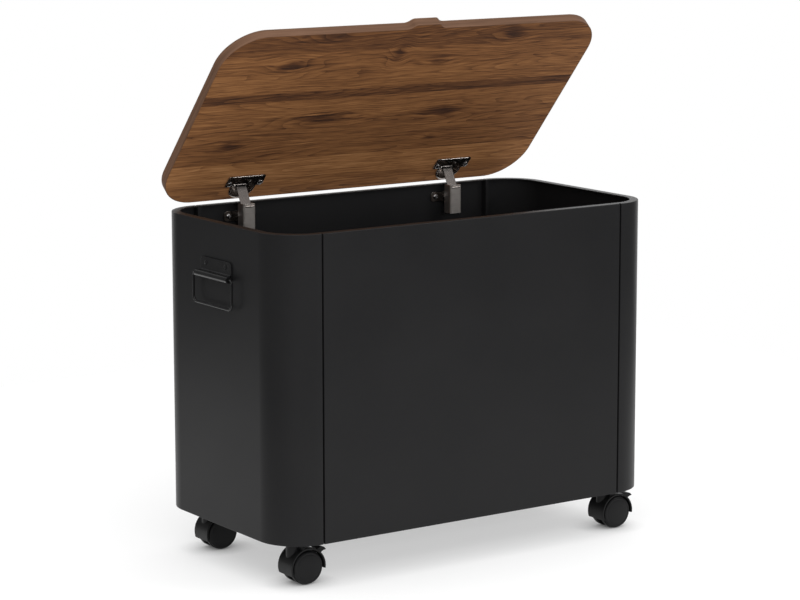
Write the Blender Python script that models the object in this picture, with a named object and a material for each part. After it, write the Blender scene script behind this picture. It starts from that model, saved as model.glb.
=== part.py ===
"""Log and pellet storage chest: bent steel panels, a hinged wooden lid, drop handles and twin-wheel casters."""

import math

import bmesh
import bpy
from mathutils import Vector

# Body of bent sheet panels
BODY_W = 0.560
BODY_D = 0.296
BODY_H = 0.375
CORNER_R = 0.054
GROUND = 0.0572
SHEET = 0.0012
RIM = 0.011
EDGE = 0.0009
FLOOR_T = 0.0015

# Clearances
GAP = 0.0003
FREE = 0.0006

# Lid board with its edge band and finger tab
LID_T = 0.012
LID_INSET = 0.0005
LID_GAP = 0.0025
LID_OPEN = math.radians(48.5)
BAND_T = 0.0010
TAB_TOP = 0.036
TAB_BASE = 0.050
TAB_OUT = 0.0068
TAB_R_IN = 0.012
TAB_R_OUT = 0.008

# Concealed cup hinges
HINGE_IN = 0.120
AXIS_BACK = 0.0025
AXIS_DOWN = 0.004
CUP_R = 0.0172
CUP_DEPTH = 0.0095
CUP_WALL = 0.0010
CUP_U = 0.0215
FLANGE_T = 0.0012
FLANGE_HALF = 0.0275
FLANGE_R = 0.0185
FLANGE_LOW = 0.025
FLANGE_TOP = 0.0445
FLANGE_LOW_R = 0.003
FLANGE_TOP_R = 0.004
SCREW_SPAN = 0.045
SCREW_U = 0.0095
SCREW_R = 0.0017
SCREW_HEAD_R = 0.0036
SCREW_HEAD_H = 0.0018
SCREW_LEN = 0.0085
PIN_R = 0.0015
PIN_U = 0.022
PIN_H = 0.004
LINK_W = 0.0145
LINK_T = 0.0012
LINK_LEN = 0.040
LINK_TILT = math.radians(27)
EYE_WALL = 0.0010
ARM_WALL = 0.0012
ARM_H = 0.038
ARM_FRONT = 0.0276
ARM_BACK = 0.014
BLOCK_FRONT = 0.019
WING_HALF = 0.024
WING_H = 0.013
WING_T = 0.0019
PLATE_SPAN = 0.032
PLATE_DROP = 0.018

# Drop handles on the two ends
HANDLE_DROP = 0.0645
HANDLE_W = 0.072
HANDLE_H = 0.0205
HANDLE_T = 0.0015
HANDLE_R = 0.006
BARREL_R = 0.0042
BARREL_W = 0.076
BARREL_OUT = 0.0066
BAIL_W = 0.0900
BAIL_H = 0.036
BAIL_R = 0.0016
BAIL_BEND = 0.0045
RIVET_R = 0.0016
RIVET_HEAD_R = 0.0029
RIVET_HEAD_H = 0.0010
RIVET_SPAN = 0.046
RIVET_UP = 0.0135

# Twin-wheel casters
CASTER_IN_X = 0.042
CASTER_IN_Y = 0.048
TRAIL = 0.0128
WHEEL_R = 0.0213
WHEEL_W = 0.0112
WEB_T = 0.010
HOOD_WALL = 0.0022
HOOD_CLEAR = 0.0010
NECK_R = 0.0085
AXLE_R = 0.0020
KING_R = 0.0030
COLLAR_R = 0.0065
COLLAR_T = 0.0008
CASTER_PLATE = 0.034
CASTER_PLATE_T = 0.0025
CASTER_PLATE_R = 0.005
LEVER_W = 0.014
LEVER_STEM = 0.009
LEVER_LEN = 0.0195
LEVER_T = 0.002

# Derived levels and positions
HALF_W = BODY_W / 2
HALF_D = BODY_D / 2
RIM_Z = GROUND + BODY_H
LAND = GAP / 2 + 2 * SHEET
SEAM_X = HALF_W - CORNER_R - LAND
FLOOR_Z = GROUND + SHEET + GAP
HINGE_X = HALF_W - HINGE_IN
SWIVEL_X = HALF_W - CASTER_IN_X
SWIVEL_Y = HALF_D - CASTER_IN_Y
HANDLE_Z = RIM_Z - HANDLE_DROP
PLATE_Z = RIM_Z - PLATE_DROP
PLATE_LOW = FLOOR_Z - GAP - CASTER_PLATE_T
NECK_TOP = PLATE_LOW - 2 * GAP - COLLAR_T
KING_LOW = WHEEL_R + WHEEL_R
LEVER_X = 0.52 * WHEEL_R
LEVER_Z = 0.82 * WHEEL_R
LID_REAR = -AXIS_BACK - LID_INSET
LID_UNDER = AXIS_DOWN + LID_GAP
SIN = math.sin(LID_OPEN)
COS = math.cos(LID_OPEN)
REAR_REACH = HALF_D + AXIS_BACK + LID_REAR * COS + (LID_UNDER + LID_T) * SIN
CENTRE_Y = (HALF_D - REAR_REACH) / 2


def rounded(corners, steps=6):
    """Points round a polygon given as (x, y, radius); a radius makes an arc."""
    points = []
    for index, (x, y, radius) in enumerate(corners):
        corner = Vector((x, y))
        if radius <= 0:
            points.append((x, y))
            continue
        before = (Vector(corners[index - 1][:2]) - corner).normalized()
        after = (Vector(corners[(index + 1) % len(corners)][:2]) - corner).normalized()
        half = before.angle(after) / 2
        centre = corner + (before + after).normalized() * (radius / math.sin(half))
        first = corner + before * (radius / math.tan(half)) - centre
        last = corner + after * (radius / math.tan(half)) - centre
        start = math.atan2(first.y, first.x)
        turn = (math.atan2(last.y, last.x) - start + math.pi) % (2 * math.pi) - math.pi
        for step in range(steps + 1):
            angle = start + turn * step / steps
            points.append((centre.x + radius * math.cos(angle), centre.y + radius * math.sin(angle)))
    return points


def circle(x, y, radius, steps):
    """Points round a circle."""
    turns = [2 * math.pi * step / steps for step in range(steps)]
    return [(x + radius * math.cos(turn), y + radius * math.sin(turn)) for turn in turns]


def area(loop):
    """Signed area of a flat loop."""
    pairs = zip(loop, loop[1:] + loop[:1])
    return sum(a[0] * b[1] - b[0] * a[1] for a, b in pairs) / 2


def inset(loop, distance):
    """The loop moved inwards by a distance."""
    loop = loop if area(loop) > 0 else loop[::-1]
    moved = []
    for index, point in enumerate(loop):
        here = Vector(point)
        before = (here - Vector(loop[index - 1])).normalized()
        after = (Vector(loop[(index + 1) % len(loop)]) - here).normalized()
        side = (before + after).normalized()
        inward = Vector((-side.y, side.x))
        reach = distance / max(0.2, before.dot(side))
        moved.append(tuple(here + inward * reach))
    return moved


def finished(shape):
    """A mesh from an edit mesh, with its faces turned outwards and its round sides smooth."""
    bmesh.ops.recalc_face_normals(shape, faces=shape.faces)
    mesh = bpy.data.meshes.new("shape")
    shape.to_mesh(mesh)
    shape.free()
    return smoothed(mesh)


def smoothed(mesh):
    """The mesh shaded smooth, with edges kept sharp above 35 degrees."""
    mesh.polygons.foreach_set("use_smooth", [True] * len(mesh.polygons))
    mesh.set_sharp_from_angle(angle=math.radians(35))
    return mesh


def placed(a, b, c, axis):
    """A point whose flat outline is (a, b) and whose height c runs along an axis."""
    return {"X": (c, a, b), "Y": (a, c, b), "Z": (a, b, c)}[axis]


def prism(outline, low, high, axis="Z", holes=()):
    """A flat outline, with holes, pulled along an axis from low to high."""
    shape = bmesh.new()
    rings = []
    for loop in [outline, *holes]:
        bottom = [shape.verts.new(placed(a, b, low, axis)) for a, b in loop]
        top = [shape.verts.new(placed(a, b, high, axis)) for a, b in loop]
        rings.append((bottom, top))
        for index in range(len(loop)):
            follow = (index + 1) % len(loop)
            shape.faces.new((bottom[index], bottom[follow], top[follow], top[index]))
    for level in (0, 1):
        if not holes:
            shape.faces.new(rings[0][level])
            continue
        edges = []
        for ring in rings:
            loop = ring[level]
            edges += [shape.edges.get((loop[index - 1], loop[index])) for index in range(len(loop))]
        bmesh.ops.triangle_fill(shape, edges=edges, use_beauty=True)
    return finished(shape)


def box(low, high):
    """A box between two corners."""
    outline = [(low[0], low[1]), (high[0], low[1]), (high[0], high[1]), (low[0], high[1])]
    return prism(outline, low[2], high[2])


def lathe(profile, steps, axis="Z"):
    """A profile of (radius, height) turned round an axis; it starts and ends on the axis."""
    shape = bmesh.new()
    rings = []
    for radius, height in profile:
        if radius == 0:
            rings.append([shape.verts.new(placed(0, 0, height, axis))])
            continue
        rings.append([shape.verts.new(placed(a, b, height, axis)) for a, b in circle(0, 0, radius, steps)])
    for lower, upper in zip(rings, rings[1:]):
        for index in range(steps):
            follow = (index + 1) % steps
            if len(lower) == 1:
                shape.faces.new((lower[0], upper[index], upper[follow]))
            elif len(upper) == 1:
                shape.faces.new((lower[index], lower[follow], upper[0]))
            else:
                shape.faces.new((lower[index], lower[follow], upper[follow], upper[index]))
    return finished(shape)


def rod_ring(path, radius, sides, axis):
    """A round rod bent along a closed flat path."""
    shape = bmesh.new()
    rings = []
    for index, point in enumerate(path):
        here = Vector(point)
        before = (here - Vector(path[index - 1])).normalized()
        after = (Vector(path[(index + 1) % len(path)]) - here).normalized()
        along = (before + after).normalized()
        normal = Vector((-along.y, along.x))
        ring = []
        for across, out in circle(0, 0, radius, sides):
            a, b = here + normal * across
            ring.append(shape.verts.new(placed(a, b, out, axis)))
        rings.append(ring)
    for lower, upper in zip(rings, rings[1:] + rings[:1]):
        for index in range(sides):
            follow = (index + 1) % sides
            shape.faces.new((lower[index], lower[follow], upper[follow], upper[index]))
    return finished(shape)


def tray(stations):
    """A sheet panel along a plan path, folded inwards on all four edges; stations are (point, inward)."""
    shape = bmesh.new()
    section = {
        "low_edge": (EDGE, GROUND),
        "wall_low": (0, GROUND + EDGE),
        "wall_high": (0, RIM_Z - EDGE),
        "high_edge": (EDGE, RIM_Z),
        "rim_top": (RIM, RIM_Z),
        "rim_under": (RIM, RIM_Z - SHEET),
        "sole_top": (RIM, GROUND + SHEET),
        "sole_under": (RIM, GROUND),
        "pocket_high": (SHEET, RIM_Z - SHEET),
        "pocket_low": (SHEET, GROUND + SHEET),
    }
    last = len(stations) - 1
    rows = []
    for index, (point, inward) in enumerate(stations):
        row = {}
        for name, (depth, height) in section.items():
            if name.startswith("pocket") and index in (0, 1, last - 1, last):
                continue
            depth = max(depth, EDGE) if index in (0, last) else depth
            x, y = Vector(point) + Vector(inward) * depth
            row[name] = shape.verts.new((x, y, height))
        rows.append(row)
    around = ["low_edge", "wall_low", "wall_high", "high_edge", "rim_top", "rim_under"]
    outer = list(zip(around, around[1:])) + [("sole_top", "sole_under"), ("sole_under", "low_edge")]
    pocket = [("rim_under", "pocket_high"), ("pocket_high", "pocket_low"), ("pocket_low", "sole_top")]
    for index in range(last):
        closed_end = index < 2 or index > last - 3
        strips = outer + ([("rim_under", "sole_top")] if closed_end else pocket)
        for one, two in strips:
            here, there = rows[index], rows[index + 1]
            shape.faces.new((here[one], here[two], there[two], there[one]))
    ring = around + ["sole_top", "sole_under"]
    for row in (rows[0], rows[last]):
        shape.faces.new([row[name] for name in ring])
    for row in (rows[2], rows[last - 2]):
        shape.faces.new([row[name] for name in ("rim_under", "pocket_high", "pocket_low", "sole_top")])
    return finished(shape)


def end_stations(side, steps=10):
    """Plan path of an end panel, from its front seam round both corners to its back seam."""
    seam = [side * (SEAM_X + GAP / 2 + along) for along in (0, EDGE, SHEET)]
    stations = [((x, -HALF_D), (0, 1)) for x in seam]
    for end, first in ((-1, 0), (1, 1)):
        for step in range(steps + 1):
            turn = math.pi / 2 * step / steps
            turn = turn if first == 0 else math.pi / 2 - turn
            out = (side * math.sin(turn), end * math.cos(turn))
            centre = (side * (HALF_W - CORNER_R), end * (HALF_D - CORNER_R))
            point = (centre[0] + CORNER_R * out[0], centre[1] + CORNER_R * out[1])
            stations.append((point, (-out[0], -out[1])))
    return stations + [((x, HALF_D), (0, -1)) for x in seam[::-1]]


def flat_stations(end):
    """Plan path of the front panel (end -1) or the back panel (end 1), from seam to seam."""
    seam = [SEAM_X - GAP / 2 - along for along in (0, EDGE, SHEET)]
    across = [-x for x in seam] + seam[::-1]
    return [((x, end * HALF_D), (0, -end)) for x in across]


def carved(mesh, joins=(), cuts=()):
    """The mesh with other meshes joined to it and then cut out of it."""
    base = bpy.data.objects.new("carved", mesh)
    bpy.context.scene.collection.objects.link(base)
    helpers = []
    for operation, others in (("UNION", joins), ("DIFFERENCE", cuts)):
        for other in others:
            helper = bpy.data.objects.new("helper", other)
            helper.hide_render = True
            helper.display_type = "WIRE"
            bpy.context.scene.collection.objects.link(helper)
            modifier = base.modifiers.new(operation, "BOOLEAN")
            modifier.operation = operation
            modifier.solver = "EXACT"
            modifier.object = helper
            helpers.append(helper)
    bpy.context.view_layer.update()
    graph = bpy.context.evaluated_depsgraph_get()
    result = bpy.data.meshes.new_from_object(base.evaluated_get(graph))
    for helper in [base, *helpers]:
        bpy.data.objects.remove(helper)
    return smoothed(result)


def material(name, colour, metallic, roughness):
    """A plain Principled material."""
    made = bpy.data.materials.new(name)
    made.use_nodes = True
    shader = made.node_tree.nodes["Principled BSDF"]
    shader.inputs["Base Color"].default_value = (*colour, 1)
    shader.inputs["Metallic"].default_value = metallic
    shader.inputs["Roughness"].default_value = roughness
    made.diffuse_color = (*colour, 1)
    return made


def empty(name, parent, location, turn=0.0):
    """An axis or seat that pieces hang from, turned about X."""
    made = bpy.data.objects.new(name, None)
    made.parent = parent
    made.location = location
    made.rotation_euler = (turn, 0, 0)
    made.empty_display_size = 0.02
    bpy.context.scene.collection.objects.link(made)
    return made


def piece(name, mesh, look, parent, location=(0, 0, 0), turn=(0, 0, 0)):
    """One named solid of the chest."""
    made = bpy.data.objects.new(name, mesh.copy())
    made.data.name = name
    made.data.materials.clear()
    made.data.materials.append(LOOKS[look])
    made.parent = parent
    made.location = location
    made.rotation_euler = turn
    bpy.context.scene.collection.objects.link(made)
    return made


def screw_mesh(radius, head_r, head_h, length, axis):
    """A pan-head screw or rivet: its head stands above zero and its shank runs below it."""
    profile = [(0, head_h), (head_r * 0.62, head_h), (head_r, head_h * 0.45), (head_r, 0)]
    profile += [(radius, 0), (radius, -length), (0, -length)]
    return lathe(profile, 10, axis)


def build_body(root):
    """The four wrapped panels and the floor."""
    plate_holes = []
    for side in (-1, 1):
        for screw in (-1, 1):
            spot = circle(side * HINGE_X + screw * PLATE_SPAN / 2, PLATE_Z, SCREW_R + GAP, 12)
            plate_holes.append(prism(spot, HALF_D - 2 * SHEET, HALF_D + SHEET, "Y"))
    piece("front_panel", tray(flat_stations(-1)), "steel", root)
    piece("back_panel", carved(tray(flat_stations(1)), cuts=plate_holes), "steel", root)
    for name, side in (("left_end_panel", -1), ("right_end_panel", 1)):
        holes = []
        for spot in (-1, 1):
            ring = circle(spot * RIVET_SPAN / 2, HANDLE_Z + RIVET_UP, RIVET_R + GAP, 12)
            ends = sorted((side * (HALF_W - 2 * SHEET), side * (HALF_W + SHEET)))
            holes.append(prism(ring, ends[0], ends[1], "X"))
        piece(name, carved(tray(end_stations(side)), cuts=holes), "steel", root)
    away = SHEET + FREE
    x, y, radius = HALF_W - away, HALF_D - away, CORNER_R - away
    notch = GAP / 2 + SHEET + FREE
    deep = HALF_D - RIM - FREE
    back = [(x, -y, radius), (x, y, radius)]
    for seam in (SEAM_X, -SEAM_X):
        back += [(seam + notch, y, 0), (seam + notch, deep, 0), (seam - notch, deep, 0), (seam - notch, y, 0)]
    front = [(-a, -b, r) for a, b, r in back]
    piece("floor_panel", prism(rounded(back + front, 8), FLOOR_Z, FLOOR_Z + FLOOR_T), "steel", root)


def lid_outline():
    """Plan of the closed lid, with its tab at the front, measured from the hinge axis."""
    x = HALF_W - LID_INSET
    front = -(BODY_D + AXIS_BACK) + LID_INSET
    radius = CORNER_R - LID_INSET
    corners = [(x, LID_REAR, radius), (-x, LID_REAR, radius), (-x, front, radius)]
    corners += [(-TAB_BASE / 2, front, TAB_R_IN), (-TAB_TOP / 2, front - TAB_OUT, TAB_R_OUT)]
    corners += [(TAB_TOP / 2, front - TAB_OUT, TAB_R_OUT), (TAB_BASE / 2, front, TAB_R_IN)]
    corners += [(x, front, radius)]
    return rounded(corners, 8)


def build_lid(axis):
    """The board and its edge band, closed shape about the hinge axis."""
    outline = lid_outline()
    inner = inset(outline, BAND_T)
    core = inset(outline, BAND_T + GAP)
    top = LID_UNDER + LID_T
    bores = []
    for side in (-1, 1):
        bore = circle(side * HINGE_X, LID_REAR - CUP_U, CUP_R + GAP, 32)
        bores.append(prism(bore, LID_UNDER - SHEET, LID_UNDER + CUP_DEPTH + GAP))
        for screw in (-1, 1):
            spot = (side * HINGE_X + screw * SCREW_SPAN / 2, LID_REAR - CUP_U - SCREW_U)
            pilot = circle(*spot, SCREW_R + GAP, 12)
            bores.append(prism(pilot, LID_UNDER - SHEET, LID_UNDER + SCREW_LEN + GAP))
    piece("lid_board", carved(prism(core, LID_UNDER, top), cuts=bores), "walnut", axis)
    piece("lid_edge_band", prism(outline, LID_UNDER, top, holes=[inner]), "band", axis)


def cup_mesh():
    """Hinge cup with its screw flange, about the middle of the cup's mouth on the lid's underside."""
    wide = math.sqrt(FLANGE_R**2 - (FLANGE_LOW - CUP_U) ** 2)
    low = CUP_U - FLANGE_LOW
    tall = CUP_U - FLANGE_TOP
    arc = []
    start = math.atan2(low, wide)
    for step in range(17):
        turn = start + (math.pi - 2 * start) * step / 16
        arc.append((FLANGE_R * math.cos(turn), FLANGE_R * math.sin(turn), 0))
    wing = [(-FLANGE_HALF, low, FLANGE_LOW_R), (-FLANGE_HALF, tall, FLANGE_TOP_R)]
    outline = rounded(arc + wing + [(-a, b, r) for a, b, r in wing[::-1]], 3)
    holes = [circle(screw * SCREW_SPAN / 2, -SCREW_U, SCREW_R + GAP, 12) for screw in (-1, 1)]
    flange = prism(outline, -GAP - FLANGE_T, -GAP, holes=holes)
    cup = prism(circle(0, 0, CUP_R, 32), -GAP - FLANGE_T / 2, CUP_DEPTH)
    hollow = prism(circle(0, 0, CUP_R - CUP_WALL, 32), -2 * FLANGE_T, CUP_DEPTH - CUP_WALL)
    return carved(flange, joins=[cup], cuts=[hollow])


def link_mesh():
    """Flat link with a rolled eye at its pin; it hangs straight down from the eye."""
    bore = PIN_R + GAP
    eye = bore + EYE_WALL
    half = LINK_T / 2
    start = -math.asin(half / eye)
    loop = [(half, -LINK_LEN), (half, -eye * math.cos(start))]
    for step in range(1, 16):
        turn = -math.pi / 2 - start + (2 * math.pi + 2 * start) * step / 16
        loop.append((eye * math.cos(turn), eye * math.sin(turn)))
    loop += [(-half, -eye * math.cos(start)), (-half, -LINK_LEN)]
    return prism(loop, -LINK_W / 2, LINK_W / 2, "X", holes=[circle(0, 0, bore, 16)])


def arm_mesh():
    """Upright channel arm inside the back rim: its web faces the front and its legs straddle the plate's block."""
    inner = LINK_W / 2 + FREE
    outer = inner + ARM_WALL
    front = HALF_D - ARM_FRONT
    back = HALF_D - ARM_BACK
    outline = [(-outer, front), (outer, front), (outer, back), (inner, back)]
    outline += [(inner, front + ARM_WALL), (-inner, front + ARM_WALL), (-inner, back), (-outer, back)]
    top = RIM_Z - FREE
    return prism(outline, top - ARM_H, top)


def plate_mesh():
    """Winged mounting plate with a block that fills the arm's channel, in the chest's own place."""
    wall = HALF_D - SHEET - GAP
    foot = PLATE_Z - WING_H / 2
    block = [(wall - WING_T / 2, foot), (wall - WING_T / 2, foot + WING_H * 0.9)]
    block += [(HALF_D - BLOCK_FRONT, foot + WING_H * 0.9), (HALF_D - BLOCK_FRONT, foot)]
    body = prism(block, -LINK_W / 2 - FREE + GAP, LINK_W / 2 + FREE - GAP, "X")
    ends = rounded(
        [
            (-WING_HALF, foot, WING_H * 0.4),
            (WING_HALF, foot, WING_H * 0.4),
            (WING_HALF, foot + WING_H, WING_H * 0.4),
            (-WING_HALF, foot + WING_H, WING_H * 0.4),
        ],
        5,
    )
    holes = [circle(screw * PLATE_SPAN / 2, PLATE_Z, SCREW_R + GAP, 12) for screw in (-1, 1)]
    wings = prism(ends, wall - WING_T, wall, "Y", holes=holes)
    return carved(wings, joins=[body])


def build_hinges(root, axis):
    """Two hinges: cup, pin and screws on the lid; arm, plate and screws on the back panel; a link between."""
    cup, link, arm, plate = cup_mesh(), link_mesh(), arm_mesh(), plate_mesh()
    chord = math.sqrt((CUP_R - CUP_WALL) ** 2 - (abs(CUP_U - PIN_U) + PIN_R) ** 2) - GAP
    pin = lathe([(0, -chord), (PIN_R, -chord), (PIN_R, chord), (0, chord)], 16, "X")
    cup_screw = screw_mesh(SCREW_R, SCREW_HEAD_R, SCREW_HEAD_H, SCREW_LEN + FLANGE_T, "Z")
    wall_screw = screw_mesh(SCREW_R, SCREW_HEAD_R, SCREW_HEAD_H, WING_T + SHEET + GAP, "Y")
    wall = HALF_D - SHEET - GAP - WING_T
    for side, word in ((-1, "left"), (1, "right")):
        x = side * HINGE_X
        rear = LID_REAR - CUP_U
        piece(f"{word}_hinge_cup", cup, "nickel", axis, (x, rear, LID_UNDER))
        for screw, hand in ((-1, "a"), (1, "b")):
            head = (x + screw * SCREW_SPAN / 2, rear - SCREW_U, LID_UNDER - FLANGE_T - 2 * GAP)
            piece(f"{word}_cup_screw_{hand}", cup_screw, "zinc", axis, head, (math.pi, 0, 0))
            head = (x + screw * PLATE_SPAN / 2, wall - GAP, PLATE_Z)
            piece(f"{word}_plate_screw_{hand}", wall_screw, "zinc", root, head, (0, 0, math.pi))
        spot = (x, LID_REAR - PIN_U, LID_UNDER + PIN_H)
        piece(f"{word}_hinge_pin", pin, "nickel", axis, spot)
        pivot = empty(f"{word}_link_axis", axis, spot, LID_OPEN - LINK_TILT)
        piece(f"{word}_hinge_link", link, "nickel", pivot)
        piece(f"{word}_hinge_arm", arm, "nickel", root, (x, 0, 0))
        piece(f"{word}_hinge_plate", plate, "nickel", root, (x, 0, 0))


def handle_mesh():
    """Handle plate with a rolled barrel along its foot, for the right end, about the barrel's axis."""
    half = HANDLE_W / 2
    back = GAP - BARREL_OUT
    corners = [(-half, -BARREL_R * 0.5, 0), (half, -BARREL_R * 0.5, 0)]
    corners += [(half, HANDLE_H, HANDLE_R), (-half, HANDLE_H, HANDLE_R)]
    holes = [circle(spot * RIVET_SPAN / 2, RIVET_UP, RIVET_R + GAP, 12) for spot in (-1, 1)]
    plate = prism(rounded(corners, 5), back, back + HANDLE_T, "X", holes=holes)
    barrel = prism(circle(0, 0, BARREL_R, 24), -BARREL_W / 2, BARREL_W / 2, "Y")
    roll = [(back + HANDLE_T / 2, -BARREL_R * 0.4), (0, -BARREL_R * 0.4), (0, BARREL_R * 0.98)]
    roll += [(back + HANDLE_T / 2, BARREL_R + HANDLE_T)]
    leaf = prism(roll, -half + HANDLE_T, half - HANDLE_T, "Y")
    bore = prism(circle(0, 0, BAIL_R + 2 * GAP, 24), -HANDLE_W, HANDLE_W, "Y")
    return carved(plate, joins=[leaf, barrel], cuts=[bore])


def build_handles(root):
    """A plate, a bail and rivets on each end panel."""
    plate = handle_mesh()
    half = BAIL_W / 2
    corners = [(-half, -BAIL_H, BAIL_BEND), (half, -BAIL_H, BAIL_BEND)]
    corners += [(half, 0, BAIL_BEND), (-half, 0, BAIL_BEND)]
    bail = rod_ring(rounded(corners, 4), BAIL_R, 10, "X")
    rivet = screw_mesh(RIVET_R, RIVET_HEAD_R, RIVET_HEAD_H, HANDLE_T + SHEET + GAP, "X")
    for side, word in ((-1, "left"), (1, "right")):
        x = side * (HALF_W + BARREL_OUT)
        axis = empty(f"{word}_bail_axis", root, (x, 0, HANDLE_Z))
        turned = (0, 0, 0) if side > 0 else (0, 0, math.pi)
        piece(f"{word}_handle_plate", plate, "gloss", root, (x, 0, HANDLE_Z), turned)
        piece(f"{word}_handle_bail", bail, "gloss", axis)
        for spot, hand in ((-1, "a"), (1, "b")):
            head = side * (HALF_W + GAP + HANDLE_T + GAP)
            place = (head, spot * RIVET_SPAN / 2, HANDLE_Z + RIVET_UP)
            piece(f"{word}_handle_rivet_{hand}", rivet, "gloss", root, place, turned)


def hood_mesh(braked):
    """Caster hood about its axle: a web between the wheels, a shell over them and a neck for the kingpin."""
    recess = WHEEL_R + HOOD_CLEAR
    shell = recess + HOOD_WALL
    half = WEB_T / 2 + GAP + WHEEL_W - FREE
    outline = []
    for step in range(19):
        turn = math.radians(-8 + 208 * step / 18)
        outline.append((shell * math.cos(turn), shell * math.sin(turn)))
    outline += [(-0.25 * shell, -0.36 * shell), (0.25 * shell, -0.36 * shell)]
    top = NECK_TOP - WHEEL_R
    body = prism(outline, -half, half, "Y")
    neck = prism(circle(-TRAIL, 0, NECK_R, 24), 0.6 * WHEEL_R, top)
    cuts = []
    for side in (-1, 1):
        ends = sorted((side * WEB_T / 2, side * (half + WHEEL_W)))
        cuts.append(prism(circle(0, 0, recess, 32), ends[0], ends[1], "Y"))
    cuts.append(prism(circle(0, 0, AXLE_R + GAP, 16), -WEB_T, WEB_T, "Y"))
    cuts.append(prism(circle(-TRAIL, 0, KING_R + GAP, 16), KING_LOW - GAP - WHEEL_R, top + SHEET))
    if braked:
        low = (LEVER_X - 1.75 * LEVER_T, -LEVER_W / 2 - GAP, LEVER_Z - 3 * LEVER_T)
        cuts.append(box(low, (2 * shell, LEVER_W / 2 + GAP, 2 * shell)))
    return carved(body, joins=[neck], cuts=cuts)


def wheel_mesh():
    """One wheel for the +Y side, with a domed outer face and a blind bore; zero is its inner face."""
    bore = AXLE_R + GAP
    deep = WHEEL_W * 0.78
    profile = [(0, WHEEL_W), (0.42 * WHEEL_R, 0.985 * WHEEL_W), (0.76 * WHEEL_R, 0.92 * WHEEL_W)]
    profile += [(0.93 * WHEEL_R, 0.83 * WHEEL_W), (WHEEL_R, 0.70 * WHEEL_W), (WHEEL_R, 0.10 * WHEEL_W)]
    profile += [(0.95 * WHEEL_R, 0), (bore, 0), (bore, deep), (0, deep)]
    return lathe(profile, 28, "Y")


def lever_mesh():
    """Brake pedal about its pivot: a stem between the wheels and a wider pad outside them."""
    thick = LEVER_T
    step = LEVER_STEM - thick
    stem = [(-1.25 * thick, -1.1 * thick), (LEVER_STEM, -0.8 * thick), (LEVER_STEM, 1.2 * thick)]
    stem += [(0.5 * thick, 1.1 * thick), (-1.25 * thick, 0.4 * thick)]
    pad = [(step, -0.95 * thick), (LEVER_LEN * 0.66, -0.65 * thick), (LEVER_LEN * 0.93, -0.3 * thick)]
    pad += [(LEVER_LEN, 0.45 * thick), (LEVER_LEN * 0.78, 1.25 * thick), (LEVER_LEN * 0.55, 1.5 * thick)]
    pad += [(step, 1.35 * thick)]
    narrow = WEB_T / 2 - FREE
    return carved(prism(pad, -LEVER_W / 2, LEVER_W / 2, "Y"), joins=[prism(stem, -narrow, narrow, "Y")])


def build_casters(root):
    """Four swivelling twin-wheel casters; the front two carry a brake pedal."""
    half = CASTER_PLATE / 2
    square = [(x * half, y * half, CASTER_PLATE_R) for x, y in ((-1, -1), (1, -1), (1, 1), (-1, 1))]
    plate = prism(rounded(square, 4), PLATE_LOW, FLOOR_Z - GAP)
    collar = PLATE_LOW - GAP
    king = [(0, KING_LOW), (KING_R, KING_LOW), (KING_R, collar - COLLAR_T), (COLLAR_R, collar - COLLAR_T)]
    king = lathe(king + [(COLLAR_R, collar), (0, collar)], 20)
    reach = WEB_T / 2 + GAP + WHEEL_W * 0.78 - GAP
    axle = lathe([(0, -reach), (AXLE_R, -reach), (AXLE_R, reach), (0, reach)], 16, "Y")
    wheel = wheel_mesh()
    lever = lever_mesh()
    for end, depth in ((-1, "front"), (1, "back")):
        hood = hood_mesh(end < 0)
        for side, hand in ((-1, "left"), (1, "right")):
            name = f"{depth}_{hand}"
            spot = (side * SWIVEL_X, end * SWIVEL_Y, 0)
            piece(f"{name}_caster_plate", plate, "zinc", root, spot)
            piece(f"{name}_kingpin", king, "zinc", root, spot)
            swivel = empty(f"{name}_swivel", root, spot)
            hub = empty(f"{name}_hub", swivel, (TRAIL, 0, WHEEL_R))
            piece(f"{name}_hood", hood, "plastic", hub)
            piece(f"{name}_axle", axle, "zinc", hub)
            inner = WEB_T / 2 + GAP
            piece(f"{name}_wheel_outer", wheel, "plastic", hub, (0, end * inner, 0), turn_for(end))
            piece(f"{name}_wheel_inner", wheel, "plastic", hub, (0, -end * inner, 0), turn_for(-end))
            if end < 0:
                pivot = empty(f"{name}_lever_axis", hub, (LEVER_X, 0, LEVER_Z))
                piece(f"{name}_brake_lever", lever, "plastic", pivot)


def turn_for(end):
    """Turns a +Y wheel to the other side."""
    return (0, 0, 0) if end > 0 else (0, 0, math.pi)


for old in list(bpy.data.objects):
    bpy.data.objects.remove(old)
bpy.context.scene.unit_settings.system = "METRIC"

LOOKS = {
    "steel": material("black_coated_steel", (0.022, 0.022, 0.023), 0.0, 0.45),
    "walnut": material("walnut_board", (0.16, 0.075, 0.033), 0.0, 0.45),
    "band": material("walnut_edge_band", (0.17, 0.09, 0.055), 0.0, 0.5),
    "nickel": material("nickel_plate", (0.55, 0.52, 0.49), 1.0, 0.3),
    "zinc": material("zinc_plate", (0.5, 0.5, 0.5), 1.0, 0.4),
    "gloss": material("gloss_black_metal", (0.012, 0.012, 0.013), 0.0, 0.2),
    "plastic": material("black_plastic", (0.015, 0.015, 0.016), 0.0, 0.5),
}

chest = empty("chest", None, (0, CENTRE_Y, 0))
lid_axis = empty("lid_axis", chest, (0, HALF_D + AXIS_BACK, RIM_Z - AXIS_DOWN), -LID_OPEN)
build_body(chest)
build_lid(lid_axis)
build_hinges(chest, lid_axis)
build_handles(chest)
build_casters(chest)
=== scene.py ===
"""Looks of the log and pellet storage chest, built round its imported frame."""

import math

import bmesh
import bpy
from mathutils import Matrix, Vector


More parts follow.
